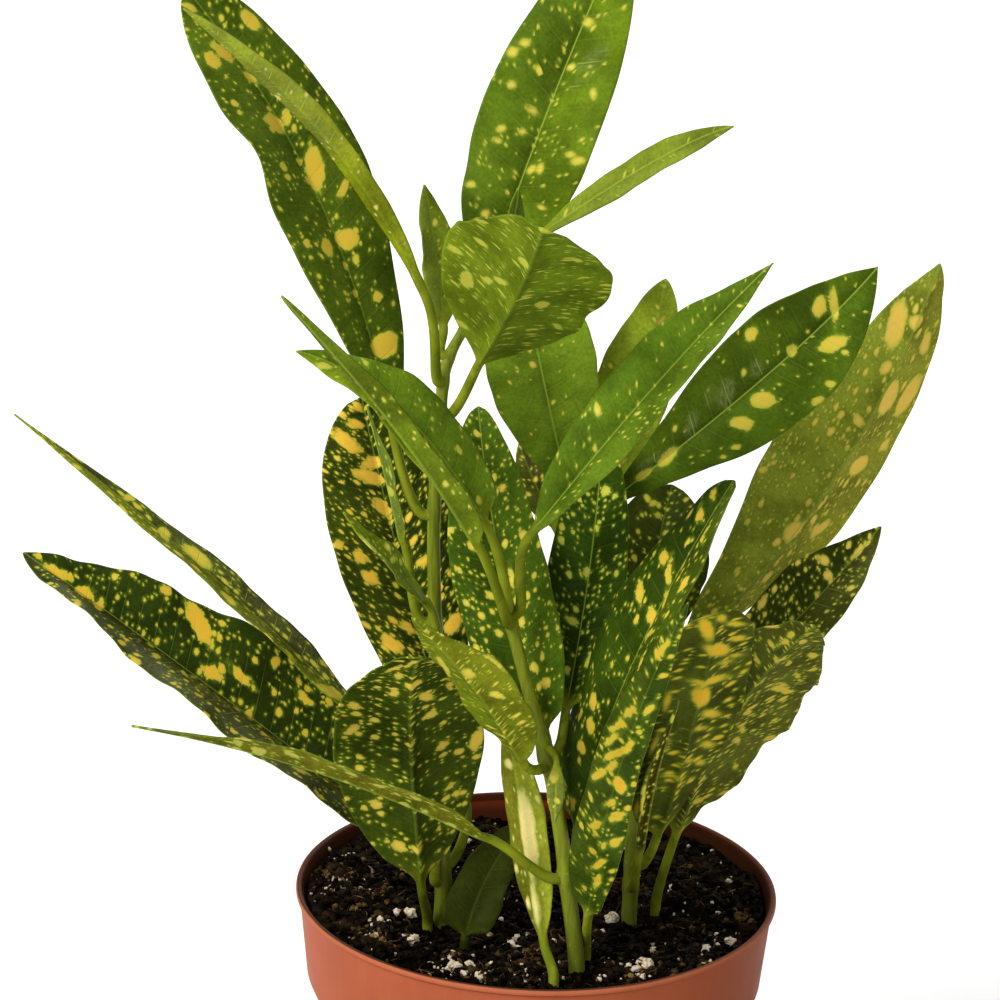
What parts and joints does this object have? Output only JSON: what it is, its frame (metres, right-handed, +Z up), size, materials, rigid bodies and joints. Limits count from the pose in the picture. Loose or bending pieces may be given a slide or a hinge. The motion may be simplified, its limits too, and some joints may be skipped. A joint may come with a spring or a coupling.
{
  "type": "potted gold dust croton plant",
  "caption": "Upright croton with gold-speckled pointed leaves on slim stems, growing in dark soil in a round tapered plastic pot.",
  "frame": {"origin": "centre of the pot's flat underside", "axes": "+Z up along the pot's axis, +X to the viewer's right, +Y away from the viewer"},
  "size_m": [0.1991, 0.1203, 0.3063],
  "materials": {
    "pot_plastic": "satin moulded terracotta plastic",
    "soil": "coarse moist potting mix with bark and pale grains",
    "stem": "smooth green living stem",
    "leaf_dark": "glossy dark green leaf with yellow blotches",
    "leaf_bright": "glossy bright green leaf with fine yellow dots",
    "leaf_olive": "dull olive underside of a leaf with pale dashes",
    "leaf_yellow": "pale yellow-green young leaf"
  },
  "bodies": {
    "root": {"pot": "pot_plastic", "soil": "soil", "stem_left": "stem", "stem_front": "stem", "stem_right": "stem", "leaf_top_left": "leaf_dark", "leaf_top_left_narrow": "leaf_olive", "leaf_top_small": "leaf_bright", "leaf_top_bright": "leaf_bright", "leaf_top_cupped": "leaf_olive", "leaf_top_right_narrow": "leaf_bright", "leaf_top_young": "leaf_bright", "leaf_left_tall_dark": "leaf_dark", "leaf_left_long": "leaf_dark", "leaf_left_folded": "leaf_dark", "leaf_left_small": "leaf_bright", "leaf_left_slim": "leaf_olive", "leaf_middle_folded": "leaf_bright", "leaf_middle_broad": "leaf_bright", "leaf_middle_bright": "leaf_bright", "leaf_low_left_narrow": "leaf_olive", "leaf_front_olive": "leaf_olive", "leaf_front_tall": "leaf_dark", "leaf_centre_dark": "leaf_dark", "leaf_centre_left": "leaf_dark", "leaf_front_tiny": "leaf_yellow", "leaf_back_olive": "leaf_bright", "leaf_back_bright": "leaf_bright", "leaf_right_glossy": "leaf_dark", "leaf_right_olive": "leaf_olive", "leaf_right_dark": "leaf_dark", "leaf_back_small": "leaf_dark", "leaf_back_shaded": "leaf_dark", "leaf_low_right_broad": "leaf_olive", "leaf_low_right_slim": "leaf_yellow", "leaf_low_left_broad": "leaf_olive", "leaf_front_yellow": "leaf_yellow", "leaf_low_back": "leaf_dark", "leaf_front_spotted": "leaf_bright", "leaf_low_right_wavy": "leaf_olive"}
  },
  "joints": []
}
